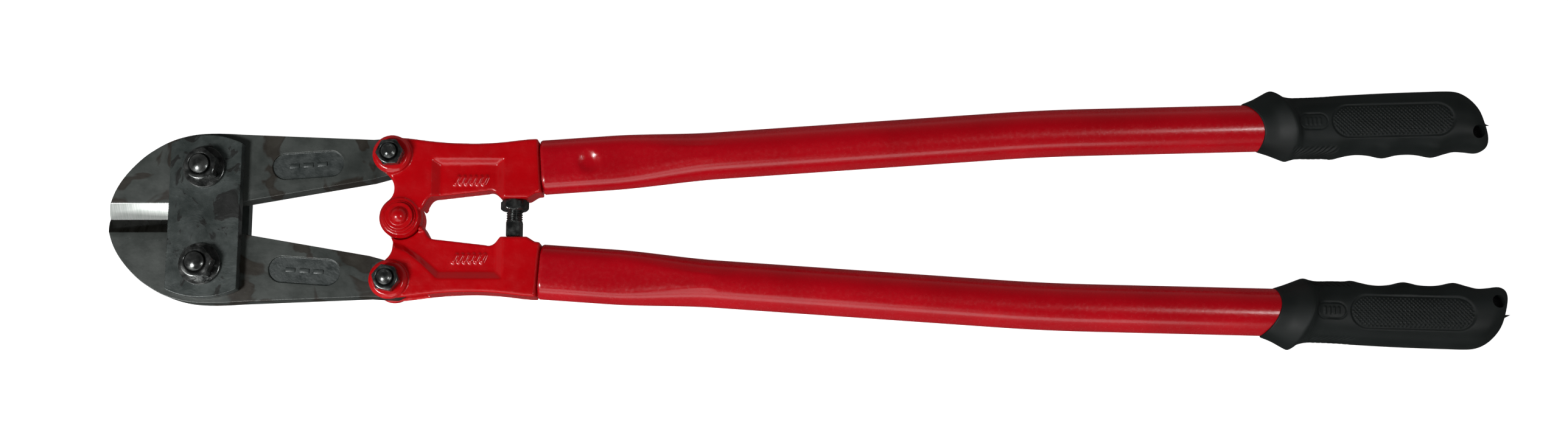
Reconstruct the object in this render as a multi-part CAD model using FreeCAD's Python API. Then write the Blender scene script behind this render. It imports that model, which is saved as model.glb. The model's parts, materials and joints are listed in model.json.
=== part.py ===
"""Compound-action bolt cutters, 750 mm long, lying flat with the jaws shut.

Drawing frame: X runs from the jaws to the grips, with X = 0 at the jaw pivots;
Y = 0 is the line the jaws close on; Z = 0 is the middle of the jaw steel.
Each part is moved at the end so that the origin is under the middle of the tool.
Sizes are in millimetres.
"""
import FreeCAD
import Part
import math
import os

V = FreeCAD.Vector

# ---- pivots -------------------------------------------------------------------
JAW_PIVOT_Y = 26.05
TAIL_PIVOT_X = 98.95
TAIL_PIVOT_Y = 33.7
HUB_X = 103.95

# ---- fits ---------------------------------------------------------------------
PIN_CLEAR = 0.05        # radial, a pin that turns in its hole
PLATE_CLEAR = 0.2       # jaw steel to strap plates, per side
EAR_CLEAR = 0.3         # jaw tail to the ears that hold it, per side
LAP_CLEAR = 0.15        # hub halves, each side of the middle
HUB_SIDE_CLEAR = 0.4    # one hub to the other casting's body
BITE_GAP = 0.15         # the gap the stop leaves between the cutting edges
STOP_GAP = 0.2          # stop screw head to the face it lands on
TAIL_PLAY = 3.2         # each way, up and down, in the upper jaw's tail hole
TAIL_SLOT_CLEAR = 0.45  # radial, the same hole's side to side clearance
HUB_PLAY = 0.15         # end play under the rivet's back head
THREAD_CLEAR = 0.05     # plain thread envelopes, radial

# ---- nuts and bolt heads --------------------------------------------------------
HEX_CORNER_SHARE = 0.09  # how far the turned corners stand out, as a share of the flats
HEX_CORNER_SLOPE = 0.6

# ---- jaws ---------------------------------------------------------------------
JAW_THICK = 13.0
JAW_TIP_X = -53.0
BEVEL_RISE = 7.85
BITE_END_X = -12.0
JAW_OUTER = [
    (-52.8, 2.6), (-51.5, 8.0), (-50.3, 11.9), (-46.0, 20.4), (-39.9, 28.0),
    (-33.7, 33.8), (-27.4, 38.1), (-21.0, 41.5), (-14.4, 43.8), (-7.8, 45.2),
    (-1.3, 45.8), (5.2, 45.9), (11.7, 45.7), (18.3, 45.3),
]
TAIL_OUTER_END = (88.0, 42.5)
TAIL_INNER_END = (88.0, 20.6)
THROAT_X = 29.3
THROAT_Y = 10.35
HEEL_Y = 5.3
TAIL_R = 10.0
JAW_PANEL_X = 53.4
JAW_PANEL_Y = 28.6
JAW_PANEL_LENGTH = 38.0
JAW_PANEL_WIDTH = 14.0
JAW_PANEL_DEPTH = 1.0
JAW_PANEL_TURN = 4.0
TAIL_TOP = 75.0         # where the straight arm meets the round tail, degrees
TAIL_LOW = -60.0

# ---- strap plates and jaw bolts -------------------------------------------------
STRAP_THICK = 6.8
STRAP_WIDTH = 37.8
STRAP_MID_X = 0.6
STRAP_CORNER_Y = 39.2
STRAP_APEX_Y = 43.6
JAW_BOLT_R = 5.0
JAW_WASHER_R = 11.15
JAW_WASHER_THICK = 2.0
JAW_NUT_AF = 16.0
JAW_NUT_H = 8.0
JAW_HEAD_H = 6.4
BOLT_PROUD = 2.6
BOLT_DOME = 1.4

# ---- castings -----------------------------------------------------------------
CAST_HALF = 9.4
EAR_HALF = 11.8
EAR_R = 10.3
EAR_BOSS_R = 10.0
EAR_BOSS_RISE = 1.2
HUB_R = 11.3
HUB_BOSS_R = 10.2
HUB_BOSS_RISE = 1.2
CAST_END_TOP = (176.6, 42.6)
CAST_END_LOW = (178.7, 13.4)
CAST_OUTER = [
    (102.9, 43.2), (110.5, 42.5), (117.2, 41.6), (123.8, 40.9), (130.3, 40.4),
    (136.9, 40.15), (143.4, 40.05), (149.9, 40.25), (156.5, 40.7), (163.0, 41.4),
    (169.5, 42.2),
]
CAST_FLANK = [(93.2, 25.2), (96.9, 22.6), (99.7, 18.6), (100.2, 14.6), (98.4, 11.2)]
CAST_CROTCH = [(115.9, 5.2), (118.3, 9.4), (122.6, 11.6)]
CAST_INNER = [(149.4, 14.7), (153.2, 14.4), (155.6, 12.3)]
STOP_FACE_Y = 10.4
STOP_FACE_LEFT = 157.2
STOP_FACE_RIGHT = 171.6
STOP_HEEL = (176.0, 13.2)
STOP_X = 163.9
SLOT_FLOOR_Y = 19.6
SLOT_LEFT_X = 80.0
SLOT_DEEP_X = 119.0
SLOT_DEEP_Y = 34.5
SLOT_R = 14.4
RECESS_DEPTH = 3.0
# each recess has sloping walls: its rim on the face, then its floor, corner for corner
SQUARE_RIM = [(120.0, 5.0), (120.0, 31.8), (159.2, 31.8), (159.2, 5.0)]
SQUARE_FLOOR = [(124.6, 5.0), (124.6, 28.9), (154.8, 28.9), (154.8, 5.0)]
SLANT_RIM = [
    (97.0, 8.0), (97.0, 15.0), (108.3, 19.2), (116.6, 26.0), (124.2, 33.4), (159.2, 33.4), (159.2, 5.0),
]
SLANT_FLOOR = [
    (97.0, 8.0), (97.0, 12.0), (105.3, 14.6), (113.4, 19.4), (124.8, 29.0), (154.8, 29.0), (154.8, 5.0),
]
RIM_CHAMFER = 0.96      # the soft edge round the cast outline
# where the cast outline leaves and meets the ear and the hub, degrees
EAR_TOP = 67.3
EAR_LOW = 236.0
HUB_TOP = 124.0
HUB_RIGHT = 380.0

# ---- tail bolts and hub rivet -----------------------------------------------------
TAIL_BOLT_R = 4.0
TAIL_NUT_AF = 13.0
TAIL_NUT_H = 6.4
TAIL_HEAD_H = 5.2
RIVET_R = 4.0
RIVET_COLLAR_R = 7.3
RIVET_COLLAR_H = 1.6
RIVET_DOME_R = 4.9
RIVET_DOME_H = 4.0
HUB_WASHER_H = 0.8
HUB_WASHER_R = 8.5

# ---- stop screw -----------------------------------------------------------------
STOP_SCREW_R = 4.5
STOP_NUT_AF = 13.2
STOP_NUT_H = 5.8
STOP_HEAD_W = 7.6
STOP_HEAD_H = 9.2
STOP_HEAD_TURN = 37.0
STOP_HEAD_CHAMFER = 0.9
STOP_BURIED = 16.0
STOP_RUN = 8.0

# ---- handle tubes ---------------------------------------------------------------
TUBE_R = 12.7
TUBE_WALL = 2.0
TUBE_END_X = 178.4
TUBE_END_Y = 28.35
TUBE_SLOPE = 4.0
BEND_X = 447.5
BEND_R = 1100.0
GRIP_SLOPE = 1.4
FLAT_WIDTH = 29.6
FLAT_THICK = 17.7
FLAT_LENGTH = 37.0
SWAGE_LENGTH = 58.0
TANG_LENGTH = 32.0

# ---- grips ------------------------------------------------------------------------
GRIP_START_X = 559.5
LOWER_HANDLE_EXTRA = 5.3
GRIP_BORE_LENGTH = 112.0
# along the outer side, outer half width, along the inner side, inner half width,
# half thickness
GRIP_STATIONS = [
    (-1.6, 13.6, 4.9, 13.3, 13.9),
    (5.0, 16.6, 11.4, 15.8, 16.6),
    (11.0, 19.5, 18.0, 18.1, 19.5),
    (13.5, 19.2, 20.8, 18.2, 19.6),
    (17.0, 17.1, 24.5, 17.3, 17.4),
    (23.0, 15.6, 30.5, 17.1, 15.8),
    (40.5, 15.8, 44.6, 17.7, 15.5),
    (55.0, 16.3, 57.5, 15.6, 15.4),
    (71.5, 16.8, 72.8, 17.6, 15.4),
    (85.5, 17.1, 86.0, 16.0, 15.4),
    (99.0, 17.2, 99.4, 17.8, 15.4),
    (108.5, 17.2, 111.7, 15.1, 15.2),
    (115.0, 16.4, 122.6, 16.1, 14.6),
    (119.4, 13.6, 127.5, 14.9, 12.6),
    (122.6, 10.6, 129.7, 12.0, 9.6),
]
GRIP_ROUNDNESS = 2.25
SECTION_POINTS = 28
HANG_HOLE_R = 3.5
HANG_HOLE_S = 120.2
HANG_HOLE_IN = 7.2


# ---- small shape helpers --------------------------------------------------------
def rod(x, y, radius, low, high):
    return Part.makeCylinder(radius, high - low, V(x, y, low))


def polygon(points):
    corners = [V(x, y, 0) for x, y in points]
    return Part.makePolygon(corners + corners[:1])


def slab(wire, low, high):
    face = Part.Face(wire)
    face.translate(V(0, 0, low))
    return face.extrude(V(0, 0, high - low))


def line(start, end):
    return Part.makeLine(V(start[0], start[1], 0), V(end[0], end[1], 0))


def curve(points):
    spline = Part.BSplineCurve()
    spline.interpolate([V(x, y, 0) for x, y in points])
    return spline.toShape()


def arc(centre, radius, start_angle, end_angle):
    points = []
    for angle in (start_angle, (start_angle + end_angle) / 2, end_angle):
        points.append(V(*on_circle(centre, radius, angle), 0))
    return Part.Arc(*points).toShape()


def on_circle(centre, radius, degrees):
    turn = math.radians(degrees)
    return centre[0] + radius * math.cos(turn), centre[1] + radius * math.sin(turn)


def hexagon(across_flats, low, high):
    """A hexagonal nut or head on the Z axis with its corners turned off."""
    corner = across_flats / math.sqrt(3)
    points = [on_circle((0, 0), corner, 60 * step) for step in range(6)]
    block = slab(polygon(points), low, high)
    edge = HEX_CORNER_SHARE * across_flats
    drop = edge * HEX_CORNER_SLOPE
    flat = across_flats / 2
    profile = [
        V(0, 0, low), V(flat, 0, low), V(flat + edge, 0, low + drop),
        V(flat + edge, 0, high - drop), V(flat, 0, high), V(0, 0, high), V(0, 0, low),
    ]
    turned = Part.Face(Part.makePolygon(profile)).revolve(V(0, 0, 0), V(0, 0, 1), 360)
    return block.common(turned)


def domed_end(radius, low, high):
    """A bolt end that rises as a shallow dome from `low` to `high` on the Z axis."""
    rise = high - low
    ball = (radius * radius + rise * rise) / (2 * rise)
    sphere = Part.makeSphere(ball, V(0, 0, high - ball))
    return sphere.common(rod(0, 0, radius, low, high + rise))


def moved(shape, x, y, z=0.0):
    copy = shape.copy()
    copy.translate(V(x, y, z))
    return copy


def flipped(shape):
    """The same part turned over on the X axis."""
    copy = shape.copy()
    copy.rotate(V(0, 0, 0), V(1, 0, 0), 180)
    return copy


def mirrored(shape):
    return shape.mirror(V(0, 0, 0), V(0, 1, 0))


# ---- jaws -----------------------------------------------------------------------
def jaw_outline():
    edge_y = BITE_GAP / 2
    tail = (TAIL_PIVOT_X, TAIL_PIVOT_Y)
    outer = [(JAW_TIP_X, edge_y)] + JAW_OUTER
    tail_top = on_circle(tail, TAIL_R, TAIL_TOP)
    tail_low = on_circle(tail, TAIL_R, TAIL_LOW)
    edges = [
        curve(outer),
        line(outer[-1], TAIL_OUTER_END),
        line(TAIL_OUTER_END, tail_top),
        arc(tail, TAIL_R, TAIL_TOP, TAIL_LOW),
        line(tail_low, TAIL_INNER_END),
        line(TAIL_INNER_END, (THROAT_X, THROAT_Y)),
        line((THROAT_X, THROAT_Y), (0, HEEL_Y)),
        line((0, HEEL_Y), (BITE_END_X, edge_y)),
        line((BITE_END_X, edge_y), outer[0]),
    ]
    return Part.Wire(edges)


def bevel_cut(side):
    """What the grinder takes off one face along the cutting edge."""
    half = JAW_THICK / 2
    reach = 2.0
    slope = BEVEL_RISE / half
    corners = [
        V(JAW_TIP_X - 5, BITE_GAP / 2 - slope * 0.5, -side * 0.5),
        V(JAW_TIP_X - 5, BITE_GAP / 2 + BEVEL_RISE + slope * reach, side * (half + reach)),
        V(JAW_TIP_X - 5, BITE_GAP / 2 - slope * 0.5, side * (half + reach)),
    ]
    face = Part.Face(Part.makePolygon(corners + corners[:1]))
    return face.extrude(V(BITE_END_X + 2 - JAW_TIP_X + 5, 0, 0))


def panel_cut(side):
    """The shallow oval sunk into one face of a jaw's arm."""
    half = JAW_THICK / 2
    run = (JAW_PANEL_LENGTH - JAW_PANEL_WIDTH) / 2
    radius = JAW_PANEL_WIDTH / 2
    edges = [
        line((-run, radius), (run, radius)),
        arc((run, 0), radius, 90, -90),
        line((run, -radius), (-run, -radius)),
        arc((-run, 0), radius, -90, -270),
    ]
    low = half - JAW_PANEL_DEPTH if side > 0 else -half
    oval = slab(Part.Wire(edges), low, low + JAW_PANEL_DEPTH)
    oval.rotate(V(0, 0, 0), V(0, 0, 1), JAW_PANEL_TURN)
    return moved(oval, JAW_PANEL_X, JAW_PANEL_Y)


def tail_hole():
    """A plain turning hole for the tail bolt."""
    return rod(TAIL_PIVOT_X, TAIL_PIVOT_Y, TAIL_BOLT_R + PIN_CLEAR, -JAW_THICK, JAW_THICK)


def tail_slot():
    """The upper jaw's tail hole: tall enough for the bolt to shift as the tool opens."""
    radius = TAIL_BOLT_R + TAIL_SLOT_CLEAR
    edges = [
        line((radius, -TAIL_PLAY), (radius, TAIL_PLAY)),
        arc((0, TAIL_PLAY), radius, 0, 180),
        line((-radius, TAIL_PLAY), (-radius, -TAIL_PLAY)),
        arc((0, -TAIL_PLAY), radius, 180, 360),
    ]
    return moved(slab(Part.Wire(edges), -JAW_THICK, JAW_THICK), TAIL_PIVOT_X, TAIL_PIVOT_Y)


def jaw(hole):
    half = JAW_THICK / 2
    steel = slab(jaw_outline(), -half, half)
    cuts = [bevel_cut(1), bevel_cut(-1), panel_cut(1), panel_cut(-1), hole]
    cuts.append(rod(0, JAW_PIVOT_Y, JAW_BOLT_R + PIN_CLEAR, -half, half))
    return steel.cut(cuts)


# ---- strap ----------------------------------------------------------------------
def strap_plate():
    left = STRAP_MID_X - STRAP_WIDTH / 2
    right = STRAP_MID_X + STRAP_WIDTH / 2
    corners = [V(left, STRAP_CORNER_Y, 0), V(right, STRAP_CORNER_Y, 0)]
    corners += [V(right, -STRAP_CORNER_Y, 0), V(left, -STRAP_CORNER_Y, 0)]
    top = Part.Arc(corners[0], V(STRAP_MID_X, STRAP_APEX_Y, 0), corners[1]).toShape()
    low = Part.Arc(corners[2], V(STRAP_MID_X, -STRAP_APEX_Y, 0), corners[3]).toShape()
    sides = [Part.makeLine(corners[1], corners[2]), Part.makeLine(corners[3], corners[0])]
    plate = slab(Part.Wire([top, sides[0], low, sides[1]]), 0, STRAP_THICK)
    holes = []
    for side in (1, -1):
        holes.append(rod(0, side * JAW_PIVOT_Y, JAW_BOLT_R, 0, STRAP_THICK))
    return plate.cut(holes)


def bolt(radius, head_across, head_low, head_high, thread_end):
    head = hexagon(head_across, head_low, head_high)
    shank = rod(0, 0, radius, head_high, thread_end - BOLT_DOME)
    return head.fuse([shank, domed_end(radius, thread_end - BOLT_DOME, thread_end)]).removeSplitter()


def nut(across_flats, bore, low, high):
    return hexagon(across_flats, low, high).cut(rod(0, 0, bore, low, high))


def washer(outer, bore, low, high):
    return rod(0, 0, outer, low, high).cut(rod(0, 0, bore, low, high))


# ---- castings -------------------------------------------------------------------
def casting_outline():
    ear = (TAIL_PIVOT_X, TAIL_PIVOT_Y)
    hub = (HUB_X, 0.0)
    ear_start = on_circle(ear, EAR_R, EAR_TOP)
    ear_end = on_circle(ear, EAR_R, EAR_LOW)
    hub_start = on_circle(hub, HUB_R, HUB_TOP)
    hub_end = on_circle(hub, HUB_R, HUB_RIGHT)
    stop_left = (STOP_FACE_LEFT, STOP_FACE_Y)
    stop_right = (STOP_FACE_RIGHT, STOP_FACE_Y)
    edges = [
        arc(ear, EAR_R, EAR_TOP, EAR_LOW),
        curve([ear_end] + CAST_FLANK[1:-1] + [hub_start]),
        arc(hub, HUB_R, HUB_TOP, HUB_RIGHT),
        curve([hub_end] + CAST_CROTCH),
        line(CAST_CROTCH[-1], CAST_INNER[0]),
        curve(CAST_INNER + [stop_left]),
        line(stop_left, stop_right),
        line(stop_right, STOP_HEEL),
        line(STOP_HEEL, CAST_END_LOW),
        line(CAST_END_LOW, CAST_END_TOP),
        curve([CAST_END_TOP] + CAST_OUTER[::-1][:-1] + [ear_start]),
    ]
    return Part.Wire(edges)


def clevis_slot():
    """The room between the two ears, open toward the jaws and the outer edge."""
    half = JAW_THICK / 2 + EAR_CLEAR
    top = TAIL_PIVOT_Y + 20
    corners = [
        (SLOT_LEFT_X, SLOT_FLOOR_Y), (TAIL_PIVOT_X, SLOT_FLOOR_Y), (TAIL_PIVOT_X + SLOT_R, SLOT_DEEP_Y),
        (SLOT_DEEP_X, SLOT_DEEP_Y), (SLOT_DEEP_X, top), (SLOT_LEFT_X, top),
    ]
    room = slab(polygon(corners), -half, half)
    return room.fuse(rod(TAIL_PIVOT_X, TAIL_PIVOT_Y, SLOT_R, -half, half)).removeSplitter()


def recess(rim, floor, side):
    """A sloping-walled hollow in the front face (side 1) or the back face (side -1)."""
    rings = []
    for corners, z in ((rim, CAST_HALF), (floor, CAST_HALF - RECESS_DEPTH)):
        ring = polygon(corners)
        ring.translate(V(0, 0, side * z))
        rings.append(ring)
    return Part.makeLoft(rings, True, True)


def tang():
    """The tongue that the end of the tube is pressed onto."""
    shape = flat_section(TUBE_WALL)
    tongue = Part.Face(shape).extrude(V(TANG_LENGTH + 2.5, 0, 0))
    tongue.translate(V(-2.5, 0, 0))
    return along_tube(tongue)


def casting():
    """The upper casting: its half of the hub lies in front, above the middle."""
    body = slab(casting_outline(), -CAST_HALF, CAST_HALF)
    rims = []
    for edge in body.Edges:
        middle = edge.CenterOfMass
        if abs(abs(middle.z) - CAST_HALF) < 0.01:
            rims.append(edge)
    body = body.makeChamfer(RIM_CHAMFER, rims)
    ear = rod(TAIL_PIVOT_X, TAIL_PIVOT_Y, EAR_R, -EAR_HALF, EAR_HALF)
    ring = EAR_HALF + EAR_BOSS_RISE
    boss = rod(TAIL_PIVOT_X, TAIL_PIVOT_Y, EAR_BOSS_R - 1.0, -ring, ring)
    hub_face = CAST_HALF + HUB_BOSS_RISE
    hub = rod(HUB_X, 0, HUB_BOSS_R, 0, hub_face)
    body = body.fuse([ear, boss, hub, tang()])
    far = EAR_HALF * 3
    other_hub = rod(HUB_X, 0, HUB_R + HUB_SIDE_CLEAR, -far, LAP_CLEAR)
    cuts = [
        clevis_slot(),
        recess(SQUARE_RIM, SQUARE_FLOOR, 1),
        recess(SLANT_RIM, SLANT_FLOOR, -1),
        other_hub,
        rod(TAIL_PIVOT_X, TAIL_PIVOT_Y, TAIL_BOLT_R, -far, far),
        rod(HUB_X, 0, RIVET_R, -far, far),
    ]
    return body.cut(cuts).removeSplitter()


def stop_bore(radius, low, high):
    bore = Part.makeCylinder(radius, high - low, V(STOP_X, low, 0), V(0, 1, 0))
    return bore


# ---- tubes ------------------------------------------------------------------------
def flat_section(inset):
    """The pressed oval at the tube's end, in the YZ plane about the tube's axis."""
    width = FLAT_WIDTH / 2 - inset
    half = FLAT_THICK / 2 - inset
    run = width - half
    top = Part.makeLine(V(0, -run, half), V(0, run, half))
    right = Part.Arc(V(0, run, half), V(0, run + half, 0), V(0, run, -half)).toShape()
    low = Part.makeLine(V(0, run, -half), V(0, -run, -half))
    left = Part.Arc(V(0, -run, -half), V(0, -run - half, 0), V(0, -run, half)).toShape()
    return Part.Wire([top, right, low, left])


def along_tube(shape):
    """Move a shape from the X axis onto the upper tube's first straight."""
    copy = shape.copy()
    copy.rotate(V(0, 0, 0), V(0, 0, 1), TUBE_SLOPE)
    copy.translate(V(TUBE_END_X, TUBE_END_Y, 0))
    return copy


def round_section(inset, at):
    """The round tube's circle in four arcs, to match the pressed oval's four edges."""
    radius = TUBE_R - inset
    edges = []
    for start in (135, 45, -45, -135):
        points = []
        for angle in (start, start - 45, start - 90):
            turn = math.radians(angle)
            points.append(V(at, radius * math.cos(turn), radius * math.sin(turn)))
        edges.append(Part.Arc(*points).toShape())
    return Part.Wire(edges)


def swage(inset):
    oval = flat_section(inset)
    oval.translate(V(FLAT_LENGTH, 0, 0))
    return Part.makeLoft([oval, round_section(inset, FLAT_LENGTH + SWAGE_LENGTH)], True, True)


def tube_path(end_x):
    """Centre line of the round part of the upper tube, from the swage to its end."""
    slope = math.radians(TUBE_SLOPE)
    end_slope = math.radians(GRIP_SLOPE)
    start = V(TUBE_END_X, TUBE_END_Y, 0)
    corner = start + V(math.cos(slope), math.sin(slope), 0) * ((BEND_X - TUBE_END_X) / math.cos(slope))
    tangent = BEND_R * math.tan((slope - end_slope) / 2)
    swage_end = start + V(math.cos(slope), math.sin(slope), 0) * (FLAT_LENGTH + SWAGE_LENGTH)
    bend_in = corner - V(math.cos(slope), math.sin(slope), 0) * tangent
    bend_out = corner + V(math.cos(end_slope), math.sin(end_slope), 0) * tangent
    middle_turn = (slope + end_slope) / 2
    sag = BEND_R * (1 / math.cos((slope - end_slope) / 2) - 1)
    apex = corner + V(math.sin(middle_turn), -math.cos(middle_turn), 0) * sag
    length = (end_x - corner.x) / math.cos(end_slope)
    end = corner + V(math.cos(end_slope), math.sin(end_slope), 0) * length
    return swage_end, bend_in, apex, bend_out, end


def tube(end_x):
    start, bend_in, apex, bend_out, end = tube_path(end_x)
    path = Part.Wire([
        Part.makeLine(start, bend_in), Part.Arc(bend_in, apex, bend_out).toShape(), Part.makeLine(bend_out, end),
    ])
    solids = []
    for inset in (0.0, TUBE_WALL):
        mouth = along_tube(round_section(inset, FLAT_LENGTH + SWAGE_LENGTH))
        round_part = path.makePipeShell([mouth], True, False)
        flat_part = Part.Face(flat_section(inset)).extrude(V(FLAT_LENGTH, 0, 0))
        solids.append([along_tube(flat_part), along_tube(swage(inset)), round_part])
    outer = solids[0][0].fuse(solids[0][1:])
    return outer.cut(solids[1])


# ---- grips ------------------------------------------------------------------------
def on_grip(shape, start_x):
    """Move a shape from the X axis onto the end of the upper handle."""
    slope = math.radians(GRIP_SLOPE)
    corner_y = TUBE_END_Y + (BEND_X - TUBE_END_X) * math.tan(math.radians(TUBE_SLOPE))
    start_y = corner_y + (start_x - BEND_X) * math.tan(slope)
    copy = shape.copy()
    copy.rotate(V(0, 0, 0), V(0, 0, 1), GRIP_SLOPE)
    copy.translate(V(start_x, start_y, 0))
    return copy


def grip_section(station):
    """One section of the upper grip about the X axis; +Y is the outer side."""
    out_s, out_w, in_s, in_w, half = station
    power = 2 / GRIP_ROUNDNESS
    points = []
    for step in range(SECTION_POINTS):
        angle = 2 * math.pi * step / SECTION_POINTS
        c = math.cos(angle)
        s = math.sin(angle)
        across = math.copysign(abs(c) ** power, c)
        y = across * (out_w if across > 0 else in_w)
        x = in_s + (out_s - in_s) * (y + in_w) / (out_w + in_w)
        points.append(V(x, y, math.copysign(abs(s) ** power, s) * half))
    spline = Part.BSplineCurve()
    spline.interpolate(points, PeriodicFlag=True)
    return Part.Wire([spline.toShape()])


def grip(start_x):
    body = Part.makeLoft([grip_section(station) for station in GRIP_STATIONS], True)
    bore = Part.makeCylinder(TUBE_R, GRIP_BORE_LENGTH + 20, V(-20, 0, 0), V(1, 0, 0))
    hole = rod(HANG_HOLE_S, -HANG_HOLE_IN, HANG_HOLE_R, -30, 30)
    return on_grip(body.cut([bore, hole]), start_x)


# ---- stop screw -------------------------------------------------------------------
def lying_y(shape, y):
    """Stand a shape made on the Z axis along -Y from height y at the stop screw."""
    copy = shape.copy()
    copy.rotate(V(0, 0, 0), V(1, 0, 0), 90)
    copy.translate(V(STOP_X, y, 0))
    return copy


def stop_screw():
    head_low = 2 * STOP_FACE_Y - STOP_GAP
    head_high = head_low - STOP_HEAD_H
    half = STOP_HEAD_W / 2
    head = Part.makeBox(STOP_HEAD_W, STOP_HEAD_W, STOP_HEAD_H, V(-half, -half, head_high))
    far_rim = [edge for edge in head.Edges if abs(edge.CenterOfMass.z - head_low) < 0.01]
    head = head.makeChamfer(STOP_HEAD_CHAMFER, far_rim)
    head.rotate(V(0, 0, 0), V(0, 0, 1), STOP_HEAD_TURN)
    shank = rod(0, 0, STOP_SCREW_R, -STOP_BURIED, head_high)
    return lying_y(head.fuse(shank).removeSplitter(), STOP_FACE_Y)


def lock_nut():
    ring = hexagon(STOP_NUT_AF, 0, STOP_NUT_H)
    return lying_y(ring.cut(rod(0, 0, STOP_SCREW_R + THREAD_CLEAR, 0, STOP_NUT_H)), STOP_FACE_Y)


# ---- the set ----------------------------------------------------------------------
def strap_parts():
    inner = JAW_THICK / 2 + PLATE_CLEAR
    outer = inner + STRAP_THICK
    seat = outer + JAW_WASHER_THICK
    top = seat + JAW_NUT_H
    plate = strap_plate()
    parts = {
        "strap_plate_front": moved(plate, 0, 0, inner),
        "strap_plate_back": moved(plate, 0, 0, -outer),
    }
    pin = bolt(JAW_BOLT_R, JAW_NUT_AF, -outer - JAW_HEAD_H, -outer, top + BOLT_PROUD)
    for name, side in (("upper", 1), ("lower", -1)):
        y = side * JAW_PIVOT_Y
        parts[name + "_jaw_bolt"] = moved(pin, 0, y)
        parts[name + "_jaw_washer"] = moved(washer(JAW_WASHER_R, JAW_BOLT_R, outer, seat), 0, y)
        parts[name + "_jaw_nut"] = moved(nut(JAW_NUT_AF, JAW_BOLT_R, seat, top), 0, y)
    return parts


def tail_parts():
    seat = EAR_HALF + EAR_BOSS_RISE
    top = seat + TAIL_NUT_H
    pin = bolt(TAIL_BOLT_R, TAIL_NUT_AF, -seat - TAIL_HEAD_H, -seat, top + BOLT_PROUD)
    cap = nut(TAIL_NUT_AF, TAIL_BOLT_R, seat, top)
    cap.rotate(V(0, 0, 0), V(0, 0, 1), 12)
    parts = {}
    for name, side in (("upper", 1), ("lower", -1)):
        parts[name + "_tail_bolt"] = moved(pin, TAIL_PIVOT_X, side * TAIL_PIVOT_Y)
        parts[name + "_tail_nut"] = moved(cap, TAIL_PIVOT_X, side * TAIL_PIVOT_Y)
    return parts


def hub_parts():
    """The rivet and front washer turn with the upper handle, the back one doesn't."""
    seat = CAST_HALF + HUB_BOSS_RISE
    ring = seat + HUB_WASHER_H
    collar = ring + RIVET_COLLAR_H
    shank = rod(0, 0, RIVET_R, -collar, collar)
    cap = domed_end(RIVET_DOME_R, collar, collar + RIVET_DOME_H)
    head = rod(0, 0, RIVET_COLLAR_R, ring, collar).fuse(cap)
    back_head = moved(flipped(head), 0, 0, -HUB_PLAY)
    rivet = shank.fuse([head, back_head]).removeSplitter()
    front_disc = washer(HUB_WASHER_R, RIVET_R, seat, ring)
    back_disc = washer(HUB_WASHER_R, RIVET_R + PIN_CLEAR, -ring, -seat)
    return {
        "hub_rivet": moved(rivet, HUB_X, 0),
        "hub_washer_front": moved(front_disc, HUB_X, 0),
        "hub_washer_back": moved(back_disc, HUB_X, 0),
    }


def handle_parts():
    blank = casting()
    buried = STOP_FACE_Y + STOP_BURIED + STOP_RUN
    upper = blank.cut(stop_bore(STOP_SCREW_R + THREAD_CLEAR, 0, buried))
    running_hole = rod(HUB_X, 0, RIVET_R + PIN_CLEAR, -EAR_HALF, EAR_HALF)
    upper_tube_end = GRIP_START_X + GRIP_BORE_LENGTH * math.cos(math.radians(GRIP_SLOPE))
    return {
        "upper_casting": upper,
        "lower_casting": flipped(blank).cut(running_hole),
        "upper_tube": tube(upper_tube_end),
        "lower_tube": flipped(tube(upper_tube_end + LOWER_HANDLE_EXTRA)),
        "upper_grip": grip(GRIP_START_X),
        "lower_grip": flipped(grip(GRIP_START_X + LOWER_HANDLE_EXTRA)),
    }


def build():
    parts = handle_parts()
    parts["upper_jaw"] = jaw(tail_slot())
    parts["lower_jaw"] = mirrored(jaw(tail_hole()))
    parts.update(strap_parts())
    parts.update(tail_parts())
    parts.update(hub_parts())
    parts["stop_screw"] = stop_screw()
    parts["lock_nut"] = lock_nut()
    return parts


def main():
    parts = build()
    box = Part.makeCompound(list(parts.values())).optimalBoundingBox(True, False)
    shift = V(-(box.XMin + box.XMax) / 2, -(box.YMin + box.YMax) / 2, -box.ZMin)
    os.makedirs("parts", exist_ok=True)
    for name, shape in sorted(parts.items()):
        shape.translate(shift)
        shape.exportStep("parts/" + name + ".step")
        if not shape.isValid() or len(shape.Solids) != 1:
            print("look at", name, shape.isValid(), len(shape.Solids))
    print("overall", round(box.XLength, 2), round(box.YLength, 2), round(box.ZLength, 2))
    print("shift", round(shift.x, 3), round(shift.y, 3), round(shift.z, 3))
    print("parts", len(parts))


main()
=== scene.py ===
# %% [markdown]
# # Long-handled bolt cutters
# The tool lies flat with its jaws shut. Its working steel, pivots and handles come as a fixed frame;
# this notebook gives each part the surface the real one has: ground edges, black oxide, thick red
# enamel over rough castings, and moulded rubber grips.

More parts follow.
